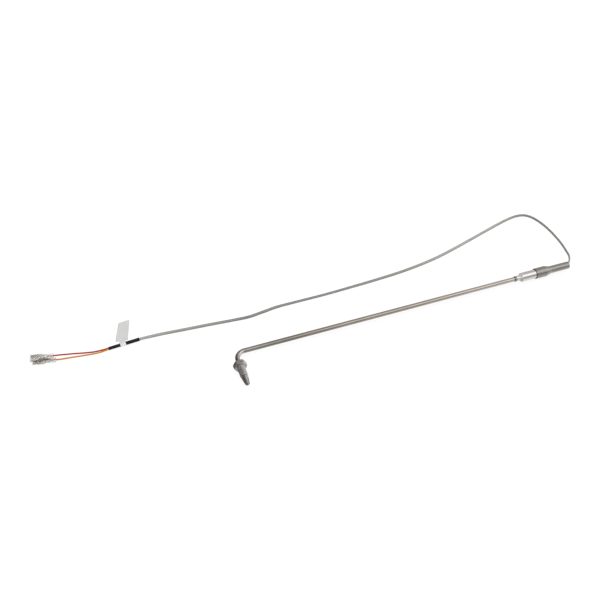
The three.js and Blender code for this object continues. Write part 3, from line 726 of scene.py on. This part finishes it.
def make_label():
    """A strip of film that runs up one face of the flag, down the other and round the tube between them."""
    ahead = -SHRINK_RUN / SHRINK_LENGTH
    centre = SHRINK_START + SHRINK_RUN * ((LABEL_FROM + LABEL_TO) / 2 / SHRINK_LENGTH)
    away, up = np.cross([0, 0, 1.0], ahead), np.array([0, 0, 1.0])
    columns = 25
    share = np.linspace(-1, 1, columns)
    flag_base = FLAG_START - centre[2]

    def leaf(side):
        """One face of the flag. It leans, with its free edge out at the foot and forward at the top."""
        made = []
        for height, half in flag_outline():
            blend = np.clip((height + NECK_HEIGHT) / NECK_HEIGHT, 0, 1)
            x, lean = share * half, FLAG_LEAN * blend
            free = np.clip((1 - x / FLAG_HALF) / 2, 0, 1)
            foot = LOW_CORNER_OUT * free * (height > 0) * (1 - height / FLAG_HEIGHT)
            along = x * cos(lean) + height * sin(FLAG_LEAN) * (height > 0) - foot
            high = flag_base + height * cos(lean) - x * sin(lean)
            bend = (max(0.0, height) / FLAG_HEIGHT) ** 1.5 * free**1.3
            curl = CURL * blend * (x / FLAG_HALF) ** 2 - HIGH_CORNER_FORWARD * bend
            gap = FILM * 0.55 + 0.9 * exp(-max(0.0, height + NECK_HEIGHT) / 0.8)
            deep = side * gap + curl
            made.append(centre + along[:, None] * ahead + high[:, None] * up + deep[:, None] * away)
        return made

    loop = []
    for i in range(25):
        turn = radians(150 + 10 * i)  # from one side of the top, under the tube, to the other
        across, high = STRAP_ACROSS * cos(turn), STRAP_UP * sin(turn)
        loop.append(centre + share[:, None] * STRAP_HALF * ahead + across * away + high * up)
    rows = [*leaf(-1)[::-1], *loop, *leaf(1)]
    faces = grid_faces(len(rows), columns, wrap_columns=False)
    piece = add_piece("cable_label", to_row(np.vstack(rows)), faces, "label_film", sharp=50)
    skin = piece.modifiers.new("film", "SOLIDIFY")
    skin.thickness, skin.offset = FILM * MM, 0
    return piece


heat_shrink = make_heat_shrink()
label = make_label()


# -------- probe

SHEATH_RADIUS, SHEATH_BORE, BEND = 3, 2.25, 12
EDGE_LENGTH, EDGE_DEPTH = 0.3, 0.12  # the worn edges at the sheath's ends


def make_sheath():
    """The bent tube: up the leg, round the bend and along the rod."""
    leg_end = (ROD_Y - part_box("probe_sheath")[0].y) / MM
    rod_end = (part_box("probe_sheath")[1].x - LEG_X) / MM
    bend = [i / 40 * pi / 2 for i in range(41)]
    line = [(0, -leg_end, 0), (0, -leg_end + EDGE_LENGTH, 0)]
    line += [(BEND * (1 - cos(t)), BEND * (sin(t) - 1), 0) for t in bend]
    line += [(rod_end - EDGE_LENGTH, 0, 0), (rod_end, 0, 0)]
    line = np.array(line)
    ahead = [(0, 1, 0)] * 2 + [(sin(t), cos(t), 0) for t in bend] + [(1, 0, 0)] * 2
    up = np.array([[0, 0, 1.0]] * len(line))
    frames = np.cross(up, np.array(ahead, float)), up
    along = np.concatenate([[0], np.cumsum(np.linalg.norm(np.diff(line, axis=0), axis=1))])
    rows, sides = len(line), 64
    angle = ring_angles(sides)
    rings = []
    for radius, edge in ((SHEATH_RADIUS, -EDGE_DEPTH), (SHEATH_BORE, EDGE_DEPTH)):
        r = np.full((rows, 1), float(radius))
        r[[0, -1]] += edge
        rings.append(swept(line, frames, r * np.cos(angle), r * np.sin(angle), along))
    faces = grid_faces(rows, sides) + grid_faces(rows, sides, first=rows * sides) + rim_faces(rows, sides)
    points, grain = (np.vstack(part) for part in zip(*rings, strict=True))
    add_piece("probe_sheath", to_row(points, ORIGIN), faces, "sheath_steel", grain=MM * grain, sharp=40)


# The union screw, with its places along the leg counted from the rod's line.
HEX_START, HEX_END, ACROSS_FLATS = 18, 24.5, 15
HEX_FACE, HEX_CONE, HEX_SLOPE, HEX_WEAR = 7.0, 7.25, 1.75, 0.1  # the chamfers and how worn the edges are
SHANK_RADIUS, SHANK_END, END_CHAMFER, THREAD_PITCH, THREAD_DEPTH = 4.95, 39.4, 0.9, 1.0, 0.55
BORE, RELIEF, RELIEF_END = 3.3, 4.4, 25.5
THREAD_START, THREAD_ENTRY = 26.1, 0.7
ON_HEXAGON = 99  # a radius that marks the profile's points whose real radius is the hexagon's


def hexagon(angle):
    """The distance from a hexagon's middle to its edge at an angle, with two flats level."""
    turn = np.mod(angle, pi / 3) - pi / 6
    return ACROSS_FLATS / 2 / np.cos(turn)


def make_union_screw():
    """A chamfered hexagon, a run-out groove and a rolled thread, with a plain bore."""
    profile = [(HEX_START, BORE + 0.25), (HEX_START, HEX_FACE)]
    profile += [(along, ON_HEXAGON) for along in np.linspace(HEX_START, HEX_END, 41)]
    profile += [(HEX_END, HEX_FACE), (HEX_END, RELIEF + 0.3), (HEX_END + 0.3, RELIEF), (RELIEF_END, RELIEF)]
    profile += [(along, SHANK_RADIUS) for along in np.arange(RELIEF_END + 0.2, SHANK_END - 0.05, 0.1)]
    profile += [(SHANK_END, SHANK_RADIUS - END_CHAMFER), (SHANK_END, BORE + 0.3), (SHANK_END - 0.3, BORE)]
    profile += [(HEX_START + 0.3, BORE)]

    def shape(along, radius, angle):
        cone = HEX_CONE + np.minimum(along - HEX_START, HEX_END - along) * HEX_SLOPE
        worn = -HEX_WEAR * np.log(np.exp(-cone / HEX_WEAR) + np.exp(-hexagon(angle) / HEX_WEAR))
        plain = np.where(radius == ON_HEXAGON, worn, radius)
        phase = np.mod(along / THREAD_PITCH - angle / TURN, 1)
        ridge = np.clip(1.25 - 2.6 * np.abs(phase - 0.5), 0, 1)
        entry = np.clip((along - THREAD_START) / THREAD_ENTRY, 0, 1)
        thread = SHANK_RADIUS - THREAD_DEPTH * (1 - ridge) * (0.35 + 0.65 * entry)
        end_cone = SHANK_RADIUS - END_CHAMFER + (SHANK_END - along)
        start_cone = RELIEF + (along - RELIEF_END) * 1.2
        thread = np.minimum(np.minimum(thread, end_cone), start_cone)
        return np.where(radius == SHANK_RADIUS, thread, plain)

    turned_piece(
        "union_screw", profile, ALONG_LEG, "plated_steel", "union_screw", sides=240, shape=shape, sharp=42,
    )


SLOT_HALF, SLOT_START = 0.45, 43.6
SLOT_END, SLOT_REACH = 53, 6  # past the nose's end and past its sides


def slot_block(turn):
    """The corners of the block that cuts one slot across the nose, turned about the leg."""
    corners = []
    for along in (SLOT_START, SLOT_END):
        for high in (-SLOT_REACH, SLOT_REACH):
            for wide in (-SLOT_HALF, SLOT_HALF):
                x = wide * cos(turn) - high * sin(turn)
                z = wide * sin(turn) + high * cos(turn)
                corners.append(ORIGIN + Vector((x, -along, z)) * MM)
    return corners


def make_nose():
    """The slotted guard: a collar, a cone and four fingers round an open mouth."""
    profile = rounded([
        (40, 3.4, 0.1), (40, 4.2, 0.35), (42.4, 4.2, 0.5), (51.8, 2.8, 0.3), (51.8, 2.0, 0.15),
        (45.4, 2.0, 0), (45.4, 3.3, 0), (40, 3.3, 0),
    ])
    piece = turned_piece("slotted_nose", split_long(profile, 0.8), ALONG_LEG, "plated_steel")
    cut_with_blocks(piece, [slot_block(turn) for turn in (pi / 4, -pi / 4)])


def make_weld_ring():
    """A fillet of weld with the ripples of its passes."""
    profile = rounded([
        (386.3, 3.34, 0.1), (386.8, 3.58, 0.2), (388.5, 3.58, 0.2), (389, 3.42, 0.1), (389, 3.3, 0),
        (386.3, 3.3, 0),
    ])

    def shape(along, radius, angle):
        ripple = 0.03 * np.sin(26 * angle + 1.2 * along) + 0.015 * np.sin(9 * angle - 4 * along)
        return radius + np.where(radius > 3.35, ripple, 0)

    turned_piece(
        "weld_ring", split_long(profile, 0.25), ALONG_ROD, "satin_steel", sides=160, shape=shape, sharp=60,
    )


DIMPLE_ALONG, DIMPLE_ANGLE, DIMPLE_RADIUS, DIMPLE_DEPTH = 395.1, 2.4, 0.8, 0.5


def make_ferrule():
    """The turned ferrule: a neck, a cone with one staking dimple and a straight body, with a stepped bore."""
    profile = rounded([
        (389, 3.36, 0.05), (389, 3.5, 0.1), (393.2, 3.5, 0.5), (396.4, 6, 0.7), (424, 6, 0.4),
        (424, 4.8, 0.1), (400, 4.8, 0.1), (400, 3.3, 0.1), (389, 3.3, 0),
    ])

    def shape(along, radius, angle):
        outside = (radius > 3.4) & (along < 399)
        around = np.mod(angle - DIMPLE_ANGLE + pi, TURN) - pi
        away = np.hypot(along - DIMPLE_ALONG, around * radius) / DIMPLE_RADIUS
        pressed = DIMPLE_DEPTH * np.clip(1 - away**2, 0, 1) ** 0.6
        return radius - np.where(outside, pressed, 0)

    turned_piece(
        "transition_ferrule", split_long(profile, 0.22), ALONG_ROD, "bright_steel", sides=240, shape=shape,
    )


def make_sleeve():
    """The swaged sleeve: full width over the ferrule, drawn down in a soft cone, rolled in at its end."""
    profile = rounded([
        (417.2, 6.45, 0.1), (417.2, 7, 0.25), (432.5, 7, 1.6), (440.5, 4.85, 2.2), (468.5, 4.85, 0.9),
        (468.5, 3.75, 0.25), (466.5, 4.0, 0), (439.5, 4.0, 1), (431, 6.3, 1), (417.4, 6.3, 0.1),
    ])

    def shape(along, radius, angle):
        drawn = 0.03 * np.sin(6 * angle) * np.exp(-(((along - 437) / 5) ** 2))
        return radius + np.where(radius > 4.3, drawn, 0)

    turned_piece("cable_sleeve", split_long(profile, 0.5), ALONG_ROD, "satin_steel", sides=128, shape=shape)


def make_grommet():
    """A soft bush with an upright oval hole for the flat cable."""
    inside, outside = 2.3, 3.7
    hole_across, hole_up = 1.4, 2.0
    profile = rounded([(446, outside, 0.4), (461, outside, 0.4), (461, inside, 0.3), (446, inside, 0.3)])

    def shape(along, radius, angle):
        hole = 1 / np.hypot(np.cos(angle) / hole_across, np.sin(angle) / hole_up)
        share = np.clip((radius - inside) / (outside - inside), 0, 1)
        return hole * (1 - share) + radius * share

    turned_piece("cable_grommet", split_long(profile, 0.6), ALONG_ROD, "black_polyolefin", shape=shape)


make_sheath()
make_union_screw()
make_nose()
make_weld_ring()
make_ferrule()
make_sleeve()
make_grommet()


# -------- terminals

# Each is laid out along its own line from the hood's mouth: the mouth's place and the line's heading.
TERMINALS = {
    "red": ((-238, 75.3, 7.95), radians(-10)),
    "amber": ((-236, 74.7, 2.6), radians(-14.5)),
}
SHEET = 0.36
TONGUE_UP = 1.22  # how high the sheet's flat middle lies over the terminal's line
LATCH_WINDOW = [(x, y, z) for x in (6.0, 7.1) for z in (0.8, 2) for y in (-2.3, 2.3)]


def terminal_points(colour, points):
    """Points in a terminal's own frame (along, across, up) in millimetres, to the row frame."""
    mouth, heading = TERMINALS[colour]
    c, s = cos(heading), sin(heading)
    x, y, z = np.asarray(points, float).T
    return to_row(np.stack([x * c - y * s, x * s + y * c, z], axis=1) + np.array(mouth, float))


def arc(centre, radius, start, end, count):
    """Points on an arc in the section plane; angles in degrees, counted from +across towards +up."""
    angles = np.radians(np.linspace(start, end, count))
    return [(centre[0] + radius * cos(a), centre[1] + radius * sin(a)) for a in angles]


def receptacle_section():
    """Half of the tab socket's sheet: a flat tongue, rolled round and back down on the tab."""
    half = [(across, TONGUE_UP) for across in (0, 1.0, 2.0, 2.7)]
    half += arc((2.75, 0.02), 1.2, 90, -90, 13)[1:]
    half += [(2.2, -1.2), (1.75, -1.15), (1.35, -0.85), (1.12, -0.45)]
    return half


SECTION_POINTS = len(receptacle_section())


def strap_section(half_width, lift):
    """Half of a shallow strap, with as many points as the socket's section has."""
    shares = np.linspace(0, 1, SECTION_POINTS)
    return [(half_width * share, TONGUE_UP - lift * share**3) for share in shares]


def barrel_section(radius, dive):
    """Half of a crimped, flattened barrel: round the wire, then folded in between the two wings."""
    around = arc((0, TONGUE_UP - radius), radius, 90, -82, SECTION_POINTS - 3)
    around = [(x * 1.35, z) for x, z in around]
    x, z = around[-1]
    return around + [(x * 0.6, z + dive * 0.4), (0.12, z + dive * 0.75), (0.1, z + dive)]


def mixed(first, second, share):
    """A section part of the way from one to another."""
    pairs = zip(first, second, strict=True)
    return [(a[0] + (b[0] - a[0]) * share, a[1] + (b[1] - a[1]) * share) for a, b in pairs]


def sheet_rows():
    """(distance along, half section) down the receptacle."""
    socket, strap = receptacle_section(), strap_section(1.25, 0.25)
    core, cover = barrel_section(1.18, 0.5), barrel_section(1.35, 0.35)
    flared = [(x * 1.06, z * 1.06) for x, z in core]
    rows = [(along, socket) for along in (1.5, *np.linspace(1.9, 10.2, 18), 10.5)]
    rows += [(10.5 + 2.4 * share, mixed(socket, strap, share)) for share in (0.25, 0.5, 0.7, 0.85, 1)]
    rows += [(13.1, mixed(strap, flared, 0.7)), (13.3, flared)]
    rows += [(along, core) for along in (13.7, 14.4, 15.2, 15.8)]
    rows += [(16.1, flared), (16.3, mixed(flared, strap, 0.8)), (16.5, strap), (16.8, strap)]
    rows += [(17.0, mixed(strap, cover, 0.8))] + [(along, cover) for along in (17.2, 18.4, 19.7, 20)]
    return rows


def add_formed(name, colour, grid, faces, slot, **settings):
    """A piece of a terminal, from points in the terminal's own frame."""
    grain = [(x * MM, z * MM, along * MM) for along, x, z in grid]
    return add_piece(name, terminal_points(colour, grid), faces, slot, grain=grain, **settings)


def make_receptacle(colour):
    """A push-on terminal of folded sheet: its socket with a latch window, a strap and two crimped barrels."""
    rows = sheet_rows()
    grid = []
    for along, half in rows:
        grid += [(along, -x, z) for x, z in half[:0:-1]] + [(along, x, z) for x, z in half]
    faces = grid_faces(len(rows), 2 * SECTION_POINTS - 1, wrap_columns=False)
    piece = add_formed(f"{colour}_receptacle", colour, grid, faces, "terminal_tin", sharp=40)
    sheet = piece.modifiers.new("sheet", "SOLIDIFY")
    sheet.thickness, sheet.offset = SHEET * MM, 0
    cut_with_blocks(piece, [terminal_points(colour, LATCH_WINDOW)])
    return piece


STRANDS_FROM, STRANDS_TO = 11.6, 17.4
STRAND_RADIUS, STRAND_DISTANCE, STRAND_LAY = 0.14, 0.3, 7


def make_strands(colour):
    """Six strands of bare core twisted round a seventh, in the crimp."""
    steps, sides, points, faces, grain = 40, 8, [], [], []
    along = np.linspace(STRANDS_FROM, STRANDS_TO, steps)
    angle = ring_angles(sides)
    across, upward = STRAND_RADIUS * np.cos(angle), STRAND_RADIUS * np.sin(angle)
    frames = np.array([[0, 1.0, 0]] * steps), np.array([[0, 0, 1.0]] * steps)
    for strand in range(7):
        distance = STRAND_DISTANCE if strand else 0.0
        turn = strand / 6 * TURN + along / STRAND_LAY * TURN
        centre = np.stack([along, distance * np.cos(turn), distance * np.sin(turn)], axis=1)
        strand_points, strand_grain = swept(centre, frames, across, upward, along)
        first = len(points)
        faces += grid_faces(steps, sides, first=first)
        faces += [tuple(first + i for i in cap) for cap in end_caps(steps, sides)]
        points += list(strand_points)
        grain += list(strand_grain * MM)
    points = terminal_points(colour, points)
    return add_piece(f"{colour}_core_strands", points, faces, "alloy_wire", grain=grain, sharp=60)


HOOD_WALL, HOOD_SQUARENESS = 0.36, 0.55


def make_hood(colour):
    """A clear moulded hood, wide over the socket and drawn in to a neck over the crimps. outer is each ring's
    distance along, half width and half height."""
    outer = [
        (0, 4.7, 2.42), (0.15, 4.78, 2.5), (0.5, 4.8, 2.52), (1.1, 4.78, 2.5), (1.5, 4.66, 2.4),
        (6, 4.66, 2.4), (12.4, 4.62, 2.38), (13.4, 4.5, 2.36), (14.6, 4.0, 2.3), (15.8, 3.3, 2.2),
        (16.8, 2.95, 2.12), (18, 2.84, 2.08), (23, 2.8, 2.05), (27.4, 2.78, 2.04), (27.8, 2.74, 2.0),
        (28, 2.66, 1.92),
    ]
    inner = [(along, wide - HOOD_WALL, high - HOOD_WALL) for along, wide, high in outer[::-1]]
    sides = 72
    circle = np.vstack(squarish(ring_angles(sides), HOOD_SQUARENESS)).T
    grid = [(along, wide * x, high * z) for along, wide, high in outer + inner for x, z in circle]
    faces = grid_faces(len(outer + inner), sides, wrap_rows=True)
    name = f"{colour}_hood"
    return add_formed(name, colour, grid, faces, "clear_plastic", body=name, sharp=50)


terminal_pieces = {
    colour: [make_receptacle(colour), make_strands(colour), make_hood(colour)] for colour in TERMINALS
}


# -------- CAD nodes that stay

KEPT_NODES = {
    "mineral_insulation": "oxide_powder", "splice_spacer": "oxide_powder", "cement_potting": "cement",
    "conductor_positive": "alloy_wire", "conductor_negative": "alloy_wire", "hot_junction": "alloy_wire",
    "lead_core_positive": "alloy_wire", "lead_core_negative": "alloy_wire", "tip_cap": "sheath_steel",
    "splice_positive": "terminal_tin", "splice_negative": "terminal_tin",
}
for node_name, slot_name in KEPT_NODES.items():
    kept = nodes[node_name]
    kept.data.materials.clear()
    kept.data.materials.append(FINISHES[slot_name])


# -------- stage


FLOOR_GLOW = 0.89  # with the light on it, it is only just brighter than white
FLOOR_HALF = 30
FLOOR_DROP = 0.0002  # keeps it clear of the pieces that lie on the bench


def make_floor():
    """A wide white floor that the metal doesn't mirror."""
    finish = Finish("floor", (0.1, 0.1, 0.1), 0.8)
    cloud = finish.noise((3, 3, 3), detail=2, over=finish.place)
    finish.colour(finish.mottle(cloud, 0.095, 0.105))
    finish.set(Emission_Color=(1, 1, 1, 1), Emission_Strength=FLOOR_GLOW)
    signs = ((-1, -1), (1, -1), (1, 1), (-1, 1))
    mesh = bpy.data.meshes.new("floor")
    mesh.from_pydata([(x * FLOOR_HALF, y * FLOOR_HALF, 0) for x, y in signs], [], [(0, 1, 2, 3)])
    mesh.materials.append(finish.material)
    floor = add_object("floor", mesh)
    floor.location.z = -FLOOR_DROP
    floor.visible_glossy = False


def add_light(name, place, size, power, aim=(0, 0, 0), mirrored=False):
    """A rectangular light of (width, height) and watts. Only a mirrored one shows in the metal."""
    data = bpy.data.lights.new(name, "AREA")
    data.shape, data.size, data.size_y, data.energy = "RECTANGLE", *size, power
    light = add_aimed(name, data, Vector(place), Vector(aim) - Vector(place))
    light.visible_glossy = mirrored


# The surroundings that the metal mirrors: angle round the X axis in degrees (0 is level in front, 90 is
# straight up, 180 is level behind), grey.
SURROUNDINGS = (
    (-180, 0.45), (-135, 0.5), (-90, 0.6), (-60, 0.62), (-35, 0.6), (-12, 0.42), (0, 0.3), (18, 0.27),
    (32, 0.38), (48, 0.82), (60, 1.0), (72, 1.0), (84, 0.82), (100, 0.5), (118, 0.38), (150, 0.38),
    (180, 0.45),
)
# How bright they are towards each side: the direction's share along X, share of GAIN. In front they are
# bright at the far left too.
BACK_SIDES = ((-1, 0.17), (-0.37, 0.17), (-0.15, 0.33), (0.2, 0.5), (0.35, 0.72), (0.5, 0.95), (0.62, 1.0))
FRONT_SIDES = ((-1, 1.0), (-0.92, 0.8), (-0.8, 0.17), *BACK_SIDES[1:])
SEAM = 0.1  # how far each way along Y the front passes into the back
GAIN = 1.6


def make_world():
    """Surroundings with a bright band high in front and duller places round it."""
    world = bpy.data.worlds.new("studio")
    bpy.context.scene.world = world
    world.use_nodes = True
    made = NodeMaker(world.node_tree)

    def greys(source, low, high, stops):
        """Greys that change as a value runs from low to high."""
        stops = [((at - low) / (high - low), grey) for at, grey in stops]
        return made.ramp(made.ranged(source, low, high, 0, 1), *stops)

    direction = made.split(made.node("ShaderNodeTexCoord").outputs["Generated"])
    angle = made.node("ShaderNodeMath")
    angle.operation = "ARCTAN2"
    made.link(direction["Z"], angle.inputs[0])
    made.link(made.ranged(direction["Y"], -1, 1, 1, -1), angle.inputs[1])
    degrees = made.ranged(angle.outputs["Value"], -pi, pi, -180, 180)
    background = made.tree.nodes["Background"]
    made.link(greys(degrees, -180, 180, SURROUNDINGS), background.inputs["Color"])
    strength = made.ranged(direction["Y"], -SEAM, SEAM, 0, 1)
    for end, stops in (("To Min", FRONT_SIDES), ("To Max", BACK_SIDES)):
        share = made.ranged(greys(direction["X"], -1, 1, stops), 0, 1, 0, GAIN)
        made.link(share, strength.node.inputs[end])
    made.link(strength, background.inputs["Strength"])


make_floor()
add_light("overhead", (0.0, 0.2, 2.2), (3.2, 2.8), 80)
add_light("front_softbox", (-0.5, -1.6, 0.75), (1.5, 0.5), 5)
add_light("left_card", (-0.9, -0.65, 0.8), (0.6, 0.5), 0.9, aim=(0.18, 0.02, 0), mirrored=True)
make_world()
bpy.context.scene.view_settings.view_transform = "Standard"
